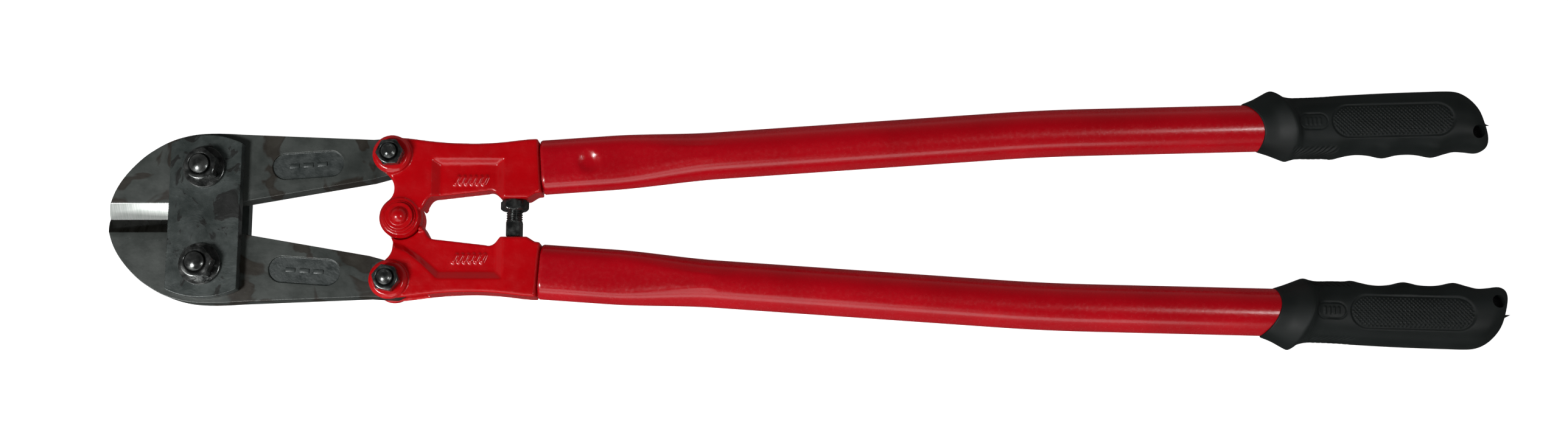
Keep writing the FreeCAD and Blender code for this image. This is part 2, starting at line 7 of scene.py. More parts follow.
# %% Load the frame
import bpy
import bmesh
import json
import math
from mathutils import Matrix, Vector


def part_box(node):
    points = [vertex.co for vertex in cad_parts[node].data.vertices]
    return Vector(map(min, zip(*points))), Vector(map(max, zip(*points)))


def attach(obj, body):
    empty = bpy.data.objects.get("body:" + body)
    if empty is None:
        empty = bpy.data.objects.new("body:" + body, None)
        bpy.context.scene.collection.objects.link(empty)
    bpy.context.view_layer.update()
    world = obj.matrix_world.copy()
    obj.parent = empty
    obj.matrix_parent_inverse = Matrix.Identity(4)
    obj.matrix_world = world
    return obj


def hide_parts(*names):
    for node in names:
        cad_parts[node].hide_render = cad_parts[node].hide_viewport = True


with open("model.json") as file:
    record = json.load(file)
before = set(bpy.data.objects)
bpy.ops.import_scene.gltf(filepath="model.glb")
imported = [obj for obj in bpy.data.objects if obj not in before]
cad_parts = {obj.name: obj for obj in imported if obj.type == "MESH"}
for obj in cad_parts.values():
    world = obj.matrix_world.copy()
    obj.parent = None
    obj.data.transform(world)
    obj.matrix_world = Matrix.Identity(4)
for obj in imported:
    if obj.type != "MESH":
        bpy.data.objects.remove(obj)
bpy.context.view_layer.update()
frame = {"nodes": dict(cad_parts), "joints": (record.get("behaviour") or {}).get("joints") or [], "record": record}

bpy.ops.object.select_all(action="DESELECT")
bpy.context.scene.view_settings.view_transform = "Standard"
MM = 0.001

# %% [markdown]
# ## Where things are
# Every place is measured in millimetres from the point midway between the two jaw pivots, because
# that is how a fitter would lay the tool out. The pivots themselves are read from the frame's joints.

# %% Landmarks from the frame
joint_at = {joint["name"]: Vector(joint["pos_m"]) for joint in frame["joints"] if "pos_m" in joint}
LOWER_JAW_PIN = joint_at["strap_swing"]
UPPER_JAW_PIN = joint_at["upper_jaw_swing"]
LOWER_TAIL_PIN = joint_at["lower_jaw_swing"]
ORIGIN = (LOWER_JAW_PIN + UPPER_JAW_PIN) / 2
TAIL_X = (LOWER_TAIL_PIN.x - ORIGIN.x) / MM
TAIL_Y = (ORIGIN.y - LOWER_TAIL_PIN.y) / MM
JAW_PIN_Y = (UPPER_JAW_PIN.y - ORIGIN.y) / MM


def at(x, y, z=0.0):
    return ORIGIN + Vector((x, y, z)) * MM


print("jaw pins at", round(JAW_PIN_Y, 2), "mm, tail pins at", round(TAIL_X, 2), round(TAIL_Y, 2))

# %% [markdown]
# ## The camera, the table and the light
# The tool is looked at from nearly straight above, a little from the lower handle's side. A light
# tent does the rest: a small bright box on the left and a weaker one on the right draw the stripes along
# the tubes, two long boxes in front are mirrored by the upper cutting bevel, and nothing stands behind,
# so that the lower bevel goes dark; its finish is painted near black as well, as painted shade.

# %% Camera
LOOK_AT = at(308.5, 2.8, 0.0)
CAMERA_DISTANCE = 1.08
CAMERA_ELEVATION = math.radians(80.5)
LENS = 46.16

back = Vector((0, -math.cos(CAMERA_ELEVATION), math.sin(CAMERA_ELEVATION)))
bpy.ops.object.camera_add(location=LOOK_AT + back * CAMERA_DISTANCE)
camera = bpy.context.object
camera.rotation_euler = (math.pi / 2 - CAMERA_ELEVATION, 0, 0)
camera.data.lens = LENS
camera.data.sensor_width = 36.0
camera.data.clip_start = 0.01
bpy.context.scene.camera = camera
print("camera", round(CAMERA_DISTANCE, 2), "m away")

# %% Table and lights
def soft_box(name, place, size_x, size_y, power, target):
    bpy.ops.object.light_add(type="AREA", location=place)
    lamp = bpy.context.object
    lamp.name = name
    lamp.data.shape = "RECTANGLE"
    lamp.data.size = size_x
    lamp.data.size_y = size_y
    lamp.data.energy = power
    lamp.rotation_euler = (Vector(target) - Vector(place)).to_track_quat("-Z", "Y").to_euler()
    return lamp


bpy.ops.mesh.primitive_plane_add(size=12.0, location=(0, 0, 0))
floor = bpy.context.object
floor.name = "table"
paper = bpy.data.materials.new("white_paper")
paper.use_nodes = True
paper_shader = paper.node_tree.nodes["Principled BSDF"]
paper_shader.inputs["Base Color"].default_value = (0.45, 0.45, 0.45, 1)
paper_shader.inputs["Roughness"].default_value = 0.9
paper_shader.inputs["Emission Color"].default_value = (1, 1, 1, 1)
paper_shader.inputs["Emission Strength"].default_value = 1.0
floor.data.materials.append(paper)
floor.visible_glossy = False


def spot_on(name, direction, distance, size_x, size_y, brightness):
    """A soft box seen from the tool in a given direction; brightness is how white its face looks."""
    place = Vector(direction).normalized() * distance
    soft_box(name, place, size_x, size_y, brightness * math.pi * size_x * size_y, (0, 0, 0))


spot_on("key_left", (-0.70, -0.38, 1.0), 1.5, 0.30, 0.30, 50.0)
spot_on("key_right", (0.52, -0.20, 1.0), 1.45, 0.24, 0.24, 22.0)
spot_on("front_low", (-0.15, -0.94, 0.36), 1.7, 1.6, 0.45, 2.2)
spot_on("front_high", (-0.42, -0.72, 0.70), 1.9, 1.8, 0.45, 1.9)

world = bpy.data.worlds.new("tent")
bpy.context.scene.world = world
world.use_nodes = True
sky = world.node_tree.nodes["Background"]
sky.inputs["Strength"].default_value = 1.0
toward = world.node_tree.nodes.new("ShaderNodeTexCoord")
parts = world.node_tree.nodes.new("ShaderNodeSeparateXYZ")
shade = world.node_tree.nodes.new("ShaderNodeValToRGB")
world.node_tree.links.new(toward.outputs["Generated"], parts.inputs["Vector"])
upward = world.node_tree.nodes.new("ShaderNodeMapRange")
upward.inputs["From Min"].default_value = -1.0
world.node_tree.links.new(parts.outputs["Z"], upward.inputs["Value"])
world.node_tree.links.new(upward.outputs["Result"], shade.inputs["Fac"])
stops = shade.color_ramp.elements
stops.new(0.45)
stops.new(0.5)
for stop, (height, grey) in zip(stops, ((0.44, 0.05), (0.53, 0.30), (0.68, 0.12), (0.90, 0.03))):
    stop.position = height
    stop.color = (grey, grey, grey, 1)
seen = world.node_tree.nodes.new("ShaderNodeLightPath")
backdrop = world.node_tree.nodes.new("ShaderNodeMix")
backdrop.data_type = "RGBA"
backdrop.inputs[7].default_value = (0.92, 0.92, 0.92, 1)
world.node_tree.links.new(seen.outputs["Is Camera Ray"], backdrop.inputs[0])
world.node_tree.links.new(shade.outputs["Color"], backdrop.inputs[6])
world.node_tree.links.new(backdrop.outputs[2], sky.inputs["Color"])
print("soft boxes", len(bpy.data.lights))

# %% [markdown]
# ## Finishes
# Each finish is one Principled shader fed by noise on Object coordinates, so that the pattern stays
# put when a part moves. `finish` makes the shader and the noise helpers are added on top.

# %% Material helpers
def finish(name, colour, metallic=0.0, roughness=0.5, coat=0.0, coat_roughness=0.1):
    made = bpy.data.materials.new(name)
    made.use_nodes = True
    shader = made.node_tree.nodes["Principled BSDF"]
    shader.inputs["Base Color"].default_value = (*colour, 1)
    shader.inputs["Metallic"].default_value = metallic
    shader.inputs["Roughness"].default_value = roughness
    shader.inputs["Coat Weight"].default_value = coat
    shader.inputs["Coat Roughness"].default_value = coat_roughness
    return made, shader


def noise(made, scale, detail=3.0, stretch=(1, 1, 1), roughness=0.5, distortion=0.0):
    """Noise on Object coordinates; scale is in repeats per metre before the stretch."""
    nodes = made.node_tree.nodes
    links = made.node_tree.links
    where = nodes.new("ShaderNodeTexCoord")
    mapping = nodes.new("ShaderNodeMapping")
    mapping.inputs["Scale"].default_value = stretch
    texture = nodes.new("ShaderNodeTexNoise")
    texture.inputs["Scale"].default_value = scale
    texture.inputs["Detail"].default_value = detail
    texture.inputs["Roughness"].default_value = roughness
    texture.inputs["Distortion"].default_value = distortion
    links.new(where.outputs["Object"], mapping.inputs["Vector"])
    links.new(mapping.outputs["Vector"], texture.inputs["Vector"])
    return texture.outputs["Fac"]


def ramp(made, value, stops):
    """Colour stops are (position, (r, g, b)); the value slides between them."""
    node = made.node_tree.nodes.new("ShaderNodeValToRGB")
    elements = node.color_ramp.elements
    while len(elements) < len(stops):
        elements.new(0.5)
    for element, (position, colour) in zip(elements, stops):
        element.position = position
        element.color = (*colour, 1)
    made.node_tree.links.new(value, node.inputs["Fac"])
    return node.outputs["Color"]


def scaled(made, value, low, high, from_low=0.3, from_high=0.7):
    node = made.node_tree.nodes.new("ShaderNodeMapRange")
    node.inputs["From Min"].default_value = from_low
    node.inputs["From Max"].default_value = from_high
    node.inputs["To Min"].default_value = low
    node.inputs["To Max"].default_value = high
    made.node_tree.links.new(value, node.inputs["Value"])
    return node.outputs["Result"]


def mixed(made, factor, first, second, blend="MIX"):
    node = made.node_tree.nodes.new("ShaderNodeMix")
    node.data_type = "RGBA"
    node.blend_type = blend
    links = made.node_tree.links
    for socket, value in ((node.inputs[0], factor), (node.inputs[6], first), (node.inputs[7], second)):
        if isinstance(value, (int, float)):
            socket.default_value = value
        elif isinstance(value, tuple):
            socket.default_value = (*value, 1)
        else:
            links.new(value, socket)
    return node.outputs[2]


def bumped(made, shader, layers):
    """Stack bump layers, each (value, strength, distance in metres)."""
    links = made.node_tree.links
    normal = None
    for value, strength, distance in layers:
        node = made.node_tree.nodes.new("ShaderNodeBump")
        node.inputs["Strength"].default_value = strength
        node.inputs["Distance"].default_value = distance
        links.new(value, node.inputs["Height"])
        if normal:
            links.new(normal, node.inputs["Normal"])
        normal = node.outputs["Normal"]
    links.new(normal, shader.inputs["Normal"])


def feed(made, value, socket):
    made.node_tree.links.new(value, socket)


# %% Red enamel on the castings
RED = (0.46, 0.0003, 0.0030)
cast_red, shader = finish("cast_red", RED, roughness=0.22, coat=0.3, coat_roughness=0.05)
shader.inputs["Specular IOR Level"].default_value = 0.22
shader.inputs["Specular IOR Level"].default_value = 0.35
blotch = noise(cast_red, 38, 4)
tone = ramp(cast_red, blotch, [(0.25, (0.40, 0.0002, 0.0025)), (0.6, RED)])
feed(cast_red, tone, shader.inputs["Base Color"])
feed(cast_red, scaled(cast_red, noise(cast_red, 160, 3), 0.16, 0.30), shader.inputs["Roughness"])
bumped(cast_red, shader, [(noise(cast_red, 110, 3), 0.35, 0.0005), (noise(cast_red, 620, 4), 0.30, 0.0002)])

# %% Red enamel on the tubes
tube_red, shader = finish("tube_red", (0.40, 0.001, 0.006), roughness=0.26, coat=0.3, coat_roughness=0.12)
shader.inputs["Specular IOR Level"].default_value = 0.35
blotch = noise(tube_red, 30, 3)
tone = ramp(tube_red, blotch, [(0.3, (0.35, 0.0008, 0.005)), (0.7, (0.43, 0.0012, 0.007))])
feed(tube_red, tone, shader.inputs["Base Color"])
feed(tube_red, scaled(tube_red, noise(tube_red, 500, 3), 0.18, 0.30), shader.inputs["Roughness"])
bumped(tube_red, shader, [(noise(tube_red, 700, 3), 0.22, 0.0002), (noise(tube_red, 2200, 2), 0.18, 0.0001)])

# %% Black oxide on the jaws
jaw_black, shader = finish("jaw_black", (0.05, 0.047, 0.042), metallic=0.2, roughness=0.40)
film = noise(jaw_black, 60, 5, roughness=0.6)
stain = noise(jaw_black, 44, 3, stretch=(1, 1, 0.4), roughness=0.45, distortion=0.6)
plain_tone = ramp(jaw_black, film, [(0.3, (0.028, 0.033, 0.030)), (0.7, (0.050, 0.057, 0.052))])
edge_ring = scaled(jaw_black, stain, 0, 1, 0.560, 0.585)
outer_tone = mixed(jaw_black, edge_ring, plain_tone, (0.016, 0.013, 0.009))
stain_mask = scaled(jaw_black, stain, 0, 1, 0.585, 0.66)
stained = mixed(jaw_black, stain_mask, outer_tone, (0.028, 0.025, 0.019))
feed(jaw_black, stained, shader.inputs["Base Color"])
feed(jaw_black, scaled(jaw_black, film, 0.30, 0.46), shader.inputs["Roughness"])
brushed = noise(jaw_black, 900, 2, stretch=(1, 0.05, 0.05))
bumped(jaw_black, shader, [(noise(jaw_black, 420, 4), 0.22, 0.0002), (brushed, 0.10, 0.0001)])

# %% The rough forged floor of the jaw panels
forged_black, shader = finish("forged_black", (0.03, 0.035, 0.033), metallic=0.2, roughness=0.45)
film = noise(forged_black, 200, 4)
tone = ramp(forged_black, film, [(0.3, (0.022, 0.028, 0.027)), (0.7, (0.042, 0.050, 0.048))])
feed(forged_black, tone, shader.inputs["Base Color"])
feed(forged_black, scaled(forged_black, film, 0.32, 0.50), shader.inputs["Roughness"])
bumped(forged_black, shader, [(noise(forged_black, 700, 4), 0.4, 0.0003)])

# %% The strap's scuffed black paint
strap_black, shader = finish("strap_black", (0.028, 0.031, 0.033), metallic=0.2, roughness=0.34)
film = noise(strap_black, 80, 6, roughness=0.65)
smear = noise(strap_black, 75, 6, stretch=(1.0, 1.0, 0.3), roughness=0.6, distortion=1.1)
tone = ramp(strap_black, film, [(0.35, (0.026, 0.033, 0.031)), (0.65, (0.050, 0.060, 0.057))])
worn = mixed(strap_black, scaled(strap_black, smear, 0, 1, 0.56, 0.60), tone, (0.012, 0.013, 0.012))
feed(strap_black, worn, shader.inputs["Base Color"])
feed(strap_black, scaled(strap_black, film, 0.26, 0.42), shader.inputs["Roughness"])
bumped(strap_black, shader, [(smear, 0.40, 0.0006), (noise(strap_black, 700, 3), 0.15, 0.0001)])

# %% Black oxide on the bolts
bolt_black, shader = finish("bolt_black", (0.080, 0.082, 0.080), metallic=0.85, roughness=0.22)
film = noise(bolt_black, 240, 4)
tone = ramp(bolt_black, film, [(0.35, (0.045, 0.048, 0.047)), (0.7, (0.150, 0.155, 0.150))])
feed(bolt_black, tone, shader.inputs["Base Color"])
feed(bolt_black, scaled(bolt_black, film, 0.16, 0.30), shader.inputs["Roughness"])
bumped(bolt_black, shader, [(noise(bolt_black, 900, 3), 0.15, 0.0001)])

# %% Ground steel of the cutting bevels
ground_steel, shader = finish("ground_steel", (0.62, 0.62, 0.60), metallic=1.0, roughness=0.46)
grain = noise(ground_steel, 2400, 3, stretch=(1, 0.02, 0.02))
tone = ramp(ground_steel, grain, [(0.35, (0.36, 0.39, 0.37)), (0.65, (0.54, 0.56, 0.54))])
feed(ground_steel, tone, shader.inputs["Base Color"])
feed(ground_steel, scaled(ground_steel, grain, 0.42, 0.50), shader.inputs["Roughness"])
bumped(ground_steel, shader, [(grain, 0.10, 0.00003)])

# %% The lower bevel: the same ground steel as the upper one, painted near black as painted shade
# near-black base and low specular stand in for the shade the lower bevel lies in
bevel_painted_shade, shader = finish("bevel_painted_shade", (0.006, 0.006, 0.005), roughness=0.28)
shader.inputs["Specular IOR Level"].default_value = 0.12
film = noise(bevel_painted_shade, 300, 3, stretch=(1, 0.2, 0.2))
tone = ramp(bevel_painted_shade, film, [(0.3, (0.003, 0.003, 0.002)), (0.7, (0.008, 0.008, 0.007))])
feed(bevel_painted_shade, tone, shader.inputs["Base Color"])
feed(bevel_painted_shade, scaled(bevel_painted_shade, film, 0.24, 0.40), shader.inputs["Roughness"])

# %% Grip rubber
rubber, shader = finish("rubber", (0.007, 0.009, 0.009), roughness=0.46)
shader.inputs["Specular IOR Level"].default_value = 0.22
cloud = noise(rubber, 45, 4)
tone = ramp(rubber, cloud, [(0.3, (0.0050, 0.0066, 0.0060)), (0.7, (0.0085, 0.0110, 0.0105))])
feed(rubber, tone, shader.inputs["Base Color"])
feed(rubber, scaled(rubber, cloud, 0.42, 0.58), shader.inputs["Roughness"])
bumped(rubber, shader, [(noise(rubber, 1500, 3), 0.22, 0.00012)])
print("finishes", len(bpy.data.materials))

# %% [markdown]
# ## Working with meshes
# A CAD part arrives as loose triangles. Where the real part has softer edges than CAD can give, its
# mesh is copied, its corners are welded, and the copy is worked on; the CAD part is then hidden.

# %% Mesh helpers
def pick(piece):
    bpy.ops.object.select_all(action="DESELECT")
    piece.select_set(True)
    bpy.context.view_layer.objects.active = piece


def apply_all(piece):
    pick(piece)
    for modifier in list(piece.modifiers):
        bpy.ops.object.modifier_apply(modifier=modifier.name)


def settle(piece):
    """Put the place and turn of a finished object into its mesh."""
    pick(piece)
    bpy.ops.object.transform_apply(location=True, rotation=True, scale=True)


def paint(piece, *materials):
    piece.data.materials.clear()
    for made in materials:
        piece.data.materials.append(made)


def own(piece, body, slot, *nodes):
    """Say what a finished piece moves with and which CAD nodes it stands for; slot, its finish, is not used."""
    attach(piece, body)
    if nodes:
        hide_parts(*nodes)


def welded_copy(node, name):
    """A copy of a CAD node whose loose triangles are joined at their shared corners."""
    piece = bpy.data.objects.new(name, frame["nodes"][node].data.copy())
    bpy.context.scene.collection.objects.link(piece)
    pick(piece)
    bpy.ops.mesh.customdata_custom_splitnormals_clear()
    bpy.ops.object.mode_set(mode="EDIT")
    bpy.ops.mesh.select_all(action="SELECT")
    bpy.ops.mesh.remove_doubles(threshold=0.000002)
    bpy.ops.object.mode_set(mode="OBJECT")
    return piece


def smooth_by_angle(piece, degrees=32):
    pick(piece)
    bpy.ops.object.shade_smooth_by_angle(angle=math.radians(degrees))


# %% [markdown]
# ## Jaws and strap plates
# These are flat forgings with ground outlines. The welded copy keeps its shape and only gets a fine
# bevel, so that each edge catches a thin line of light as worn steel does.

# %% Soft-edged steel
def edged_copy(node, name, width, keep_sharp=None):
    """Bevel every corner of a CAD node's copy, except edges that keep_sharp(middle) picks out."""
    piece = welded_copy(node, name)
    bpy.ops.object.mode_set(mode="EDIT")
    bpy.ops.mesh.select_all(action="SELECT")
    bpy.ops.mesh.dissolve_limited(angle_limit=math.radians(1.0))
    bpy.ops.mesh.select_all(action="DESELECT")
    bpy.ops.mesh.select_mode(type="EDGE")
    bpy.ops.mesh.edges_select_sharp(sharpness=math.radians(28))
    if keep_sharp:
        mesh = bmesh.from_edit_mesh(piece.data)
        for edge in mesh.edges:
            if edge.select and keep_sharp((edge.verts[0].co + edge.verts[1].co) / 2):
                edge.select_set(False)
        bmesh.update_edit_mesh(piece.data)
    bpy.ops.mesh.bevel(offset=width * MM, segments=2, affect="EDGES", clamp_overlap=True)
    bpy.ops.mesh.select_mode(type="VERT")
    bpy.ops.object.mode_set(mode="OBJECT")
    smooth_by_angle(piece, 40)
    flatter = piece.modifiers.new("flatter", "WEIGHTED_NORMAL")
    flatter.keep_sharp = True
    flatter.weight = 100
    apply_all(piece)
    return piece


def near_bite(middle):
    """The cutting edges and the ends of their bevels stay crisp."""
    x = (middle.x - ORIGIN.x) / MM
    y = (middle.y - ORIGIN.y) / MM
    return x < -8 and abs(y) < 8.6


def mark_ground_faces(piece):
    """Give the second material to faces that lean the way the grinder left them."""
    count = 0
    for face in piece.data.polygons:
        x = (face.center.x - ORIGIN.x) / MM
        if 0.60 < abs(face.normal.z) < 0.90 and -60 < x < -8 and abs(face.normal.x) < 0.05:
            face.material_index = 1
            count += 1
    return count


def pill(name, x, y, length, width, low, high, turn):
    """A raised bar with round ends, standing from `low` to `high` out of the front."""
    bpy.ops.mesh.primitive_cube_add(size=1.0)
    bar = bpy.context.object
    bar.name = name
    bar.scale = (length * MM, width * MM, (high - low) * MM)
    settle(bar)
    bpy.ops.object.mode_set(mode="EDIT")
    bpy.ops.mesh.select_all(action="DESELECT")
    mesh = bmesh.from_edit_mesh(bar.data)
    for edge in mesh.edges:
        upright = abs(edge.verts[0].co.z - edge.verts[1].co.z) > 0.1 * MM
        edge.select_set(upright)
    bmesh.update_edit_mesh(bar.data)
    bpy.ops.mesh.bevel(offset=width * 0.48 * MM, segments=5, affect="EDGES")
    bpy.ops.object.mode_set(mode="OBJECT")
    soft = bar.modifiers.new("soft", "BEVEL")
    soft.width = 0.25 * MM
    soft.segments = 2
    apply_all(bar)
    bar.rotation_euler = (0, 0, math.radians(turn))
    bar.location = at(x, y, (low + high) / 2)
    settle(bar)
    smooth_by_angle(bar, 40)
    return bar


def joined(piece, extras):
    pick(piece)
    for extra in extras:
        extra.select_set(True)
    bpy.ops.object.join()
    return piece


# %% Jaws with their raised panel marks
PANEL_X = 53.4
PANEL_Y = 28.6
PANEL_FLOOR = 5.5
MARK_TOP = 6.15
MARK_PITCH = 7.5
MARK_LENGTH = 5.2
MARK_WIDTH = 2.4
PANEL_TURN = 4
PANEL_HALF_LENGTH = 18.8

for side, sign in (("upper", 1), ("lower", -1)):
    node = side + "_jaw"
    piece = edged_copy(node, node + "_steel", 0.45, near_bite)
    for vertex in piece.data.vertices:
        gap = vertex.co.y - ORIGIN.y
        if abs(gap) < 0.12 * MM and vertex.co.x < ORIGIN.x:
            vertex.co.y = ORIGIN.y + sign * 0.015 * MM
    marks = []
    for face, z in (("front", 1), ("back", -1)):
        for step in (-1, 0, 1):
            low, high = sorted((z * PANEL_FLOOR, z * MARK_TOP))
            name = "%s_%s_mark_%d" % (node, face, step)
            x = PANEL_X + step * MARK_PITCH
            y = sign * (PANEL_Y + step * 0.5)
            marks.append(pill(name, x, y, MARK_LENGTH, MARK_WIDTH, low, high, sign * PANEL_TURN))
    # the lower jaw's ground bevel takes painted shade, near black, instead of ground steel
    paint(piece, jaw_black, ground_steel if side == "upper" else bevel_painted_shade, forged_black)
    ground = mark_ground_faces(piece)
    for face in piece.data.polygons:
        inside = abs((face.center.x - ORIGIN.x) / MM - PANEL_X) < PANEL_HALF_LENGTH
        low = abs(abs(face.center.z - ORIGIN.z) / MM - PANEL_FLOOR) < 0.1
        if inside and low and abs(face.normal.z) > 0.9:
            face.material_index = 2
    for mark in marks:
        paint(mark, forged_black)
    piece = joined(piece, marks)
    own(piece, node, "jaw_steel", node)
    print(node, "ground faces", ground, "triangles", sum(len(f.vertices) - 2 for f in piece.data.polygons))

for side in ("front", "back"):
    node = "strap_plate_" + side
    piece = edged_copy(node, node + "_steel", 0.5)
    paint(piece, strap_black)
    own(piece, "strap", "strap_black", node)

# %% [markdown]
# ## Castings
# A sand or die casting has no sharp edge anywhere: every corner is a small radius and every step in
# the surface flows into the next. Remeshing the welded copy into small even cells and then smoothing
# them gives exactly that, and it also melts the raised marks into the face.

# %% Cast heads
CAST_FLOOR = 6.4
CAST_MARK_TOP = 7.5
CAST_MARK_Y = {"upper": 20.3, "lower": 21.9}
CAST_MARK_X = 133.6
STROKE_PITCH = 3.0
STROKE_LENGTH = 5.4
STROKE_WIDTH = 1.5
STROKE_LEAN = 66
STROKE_ROOT = 0.8       # how far each stroke reaches below the floor it stands on


def cast_marks(side, sign):
    """A row of short raised strokes on the floor of the front hollow."""
    marks = []
    for step in range(6):
        x = CAST_MARK_X + step * STROKE_PITCH
        y = sign * CAST_MARK_Y[side]
        name = "%s_stroke_%d" % (side, step)
        low = CAST_FLOOR - STROKE_ROOT
        marks.append(pill(name, x, y, STROKE_LENGTH, STROKE_WIDTH, low, CAST_MARK_TOP, STROKE_LEAN))
    return marks


def melted(piece, cell, rounds):
    """Remesh into small even cells and smooth them, so that corners and marks flow together."""
    remesh = piece.modifiers.new("cells", "REMESH")
    remesh.mode = "VOXEL"
    remesh.voxel_size = cell * MM
    remesh.use_smooth_shade = True
    soften = piece.modifiers.new("soften", "SMOOTH")
    soften.factor = 0.5
    soften.iterations = rounds
    apply_all(piece)


for side, sign in (("upper", 1), ("lower", -1)):
    node = side + "_casting"
    piece = joined(welded_copy(node, node + "_enamel"), cast_marks(side, sign))
    melted(piece, 0.55, 5)
    paint(piece, cast_red)
    own(piece, side + "_handle", "cast_red", node)
    print(node, len(piece.data.polygons), "faces")

HUB_PIECES = (
    ("hub_rivet", "upper_handle"), ("hub_washer_front", "upper_handle"), ("hub_washer_back", "lower_handle"),
)
for node, body in HUB_PIECES:
    piece = welded_copy(node, node + "_enamel")
    melted(piece, 0.25, 4)
    paint(piece, cast_red)
    own(piece, body, "rivet_red", node)

# %% [markdown]
# ## Handle tubes
# Each handle is one steel tube: pressed to an oval where it grips the casting's tongue, swelling back
# to round, then bent once. Real tubes start as flat strip that is rolled up, and the model does the
# same: a flat grid is rolled round the handle's centre line, its seam is welded, and a wall is added.

# %% The handle's centre line, measured along it from the end of the tube
TUBE_START = (178.4, 28.35)
TUBE_SLOPE = math.radians(4.0)
GRIP_SLOPE = math.radians(1.4)
BEND_X = 447.5
BEND_R = 1100.0
GRIP_X = 559.5
LOWER_EXTRA = 5.3
GRIP_BORE = 112.0
TUBE_R = 12.7

half_turn = (TUBE_SLOPE - GRIP_SLOPE) / 2
to_corner = (BEND_X - TUBE_START[0]) / math.cos(TUBE_SLOPE)
bend_from = to_corner - BEND_R * math.tan(half_turn)
bend_to = bend_from + BEND_R * 2 * half_turn
corner_y = TUBE_START[1] + to_corner * math.sin(TUBE_SLOPE)
GRIP_S = bend_to + (GRIP_X - BEND_X) / math.cos(GRIP_SLOPE) - BEND_R * math.tan(half_turn)


def centre_line(s):
    """Place (x, y) and slope of the upper handle at s millimetres from the tube's end."""
    if s <= bend_from:
        slope = TUBE_SLOPE
        return TUBE_START[0] + s * math.cos(slope), TUBE_START[1] + s * math.sin(slope), slope
    if s < bend_to:
        slope = TUBE_SLOPE - (s - bend_from) / BEND_R
        x0, y0, _ = centre_line(bend_from)
        x = x0 + BEND_R * (math.sin(TUBE_SLOPE) - math.sin(slope))
        return x, y0 + BEND_R * (math.cos(slope) - math.cos(TUBE_SLOPE)), slope
    beyond = s - bend_to + BEND_R * math.tan(half_turn)
    return BEND_X + beyond * math.cos(GRIP_SLOPE), corner_y + beyond * math.sin(GRIP_SLOPE), GRIP_SLOPE


def handle_point(side, s, across, up):
    """A point s along the handle, `across` toward the outside of the tool and `up` out of the front."""
    x, y, slope = centre_line(s)
    x -= across * math.sin(slope)
    y += across * math.cos(slope)
    return at(x, y, up) if side == "upper" else at(x, -y, -up)


print("handle runs", round(GRIP_S + GRIP_BORE, 1), "mm, grip from", round(GRIP_S, 1))

# %% Rolling a sheet round the handle
def rolled_sheet(name, side, stations, around, section):
    """Roll a flat grid round the handle. section(s, angle) gives (s, across, up) in millimetres."""
    bpy.ops.mesh.primitive_grid_add(x_subdivisions=len(stations) - 1, y_subdivisions=around, size=1.0)
    piece = bpy.context.object
    piece.name = name
    for vertex in piece.data.vertices:
        column = round((vertex.co.x + 0.5) * (len(stations) - 1))
        angle = 2 * math.pi * (vertex.co.y + 0.5)
        s, across, up = section(stations[column], angle)
        vertex.co = handle_point(side, s, across, up)
    bpy.ops.object.mode_set(mode="EDIT")
    bpy.ops.mesh.select_all(action="SELECT")
    bpy.ops.mesh.remove_doubles(threshold=0.00002)
    bpy.ops.mesh.normals_make_consistent(inside=False)
    bpy.ops.object.mode_set(mode="OBJECT")
    return piece


# %% The tube's shape
FLAT_HALF_WIDTH = 14.8
FLAT_HALF_THICK = 8.85
FLAT_LENGTH = 37.0
SWAGE_LENGTH = 58.0
DIMPLE_S = 25.6
DIMPLE_R = 5.0
DIMPLE_DEPTH = 1.5
CREASE = 0.35           # cosine of the angle where the pressed flat meets its round side


def ease(t):
    t = min(max(t, 0.0), 1.0)
    return t * t * (3 - 2 * t)


def tube_section(s, angle):
    """The pressed oval swelling to a round tube, with the punch mark that pins it to the casting."""
    blend = ease((s - FLAT_LENGTH) / SWAGE_LENGTH)
    width = FLAT_HALF_WIDTH + (TUBE_R - FLAT_HALF_WIDTH) * blend
    thick = FLAT_HALF_THICK + (TUBE_R - FLAT_HALF_THICK) * blend
    run = (width - thick) if width > thick else 0.0
    across = width * math.cos(angle)
    if run > 0:
        share = min(abs(math.cos(angle)) / CREASE, 1.0)
        across = thick * math.cos(angle) + math.copysign(run * share, math.cos(angle))
    up = thick * math.sin(angle)
    if run > 0 and abs(math.cos(angle)) < CREASE:
        sag = CREASE ** 2 * (abs(math.cos(angle)) / CREASE) ** 6
        up = math.copysign(thick * math.sqrt(1 - sag), up)
    lip = max(0.0, 1.0 - s) * 0.6
    shrink = 1 - lip / width
    if up > 0:
        away = math.hypot(s - DIMPLE_S, across) / DIMPLE_R
        up -= DIMPLE_DEPTH * math.exp(-(away ** 4))
    return s, across * shrink, up * shrink


def tube_stations(end):
    stations = [0.0, 0.3, 0.6, 1.0]
    stations += [2.0 + 1.0 * step for step in range(36)]
    stations += [39.0 + 3.0 * step for step in range(20)]
    stations += [105.0 + 12.0 * step for step in range(12)]
    stations += [bend_from + 5.0 * step for step in range(12)]
    stations += [bend_to + 10.0, end]
    return stations


for side, extra in (("upper", 0.0), ("lower", LOWER_EXTRA)):
    stations = tube_stations(GRIP_S + GRIP_BORE - 1 + extra)
    piece = rolled_sheet(side + "_tube_enamel", side, stations, 96, tube_section)
    wall = piece.modifiers.new("wall", "SOLIDIFY")
    wall.thickness = 2.0 * MM
    wall.offset = -1.0
    apply_all(piece)
    smooth_by_angle(piece, 40)
    paint(piece, tube_red)
    own(piece, side + "_handle", "tube_red", side + "_tube")
    print(piece.name, len(piece.data.polygons), "faces")

# %% [markdown]
# ## Rubber grips
# The grip is one moulding with a flared collar, three finger hollows on the side that faces the other
# handle, a knurled palm pad on each face and a hole to hang it by. It is rolled from a very fine grid,
# so that the ribs and the knurling are real shape and not only shading. Each half width is read off a
# short list of stations and joined by smooth curves.

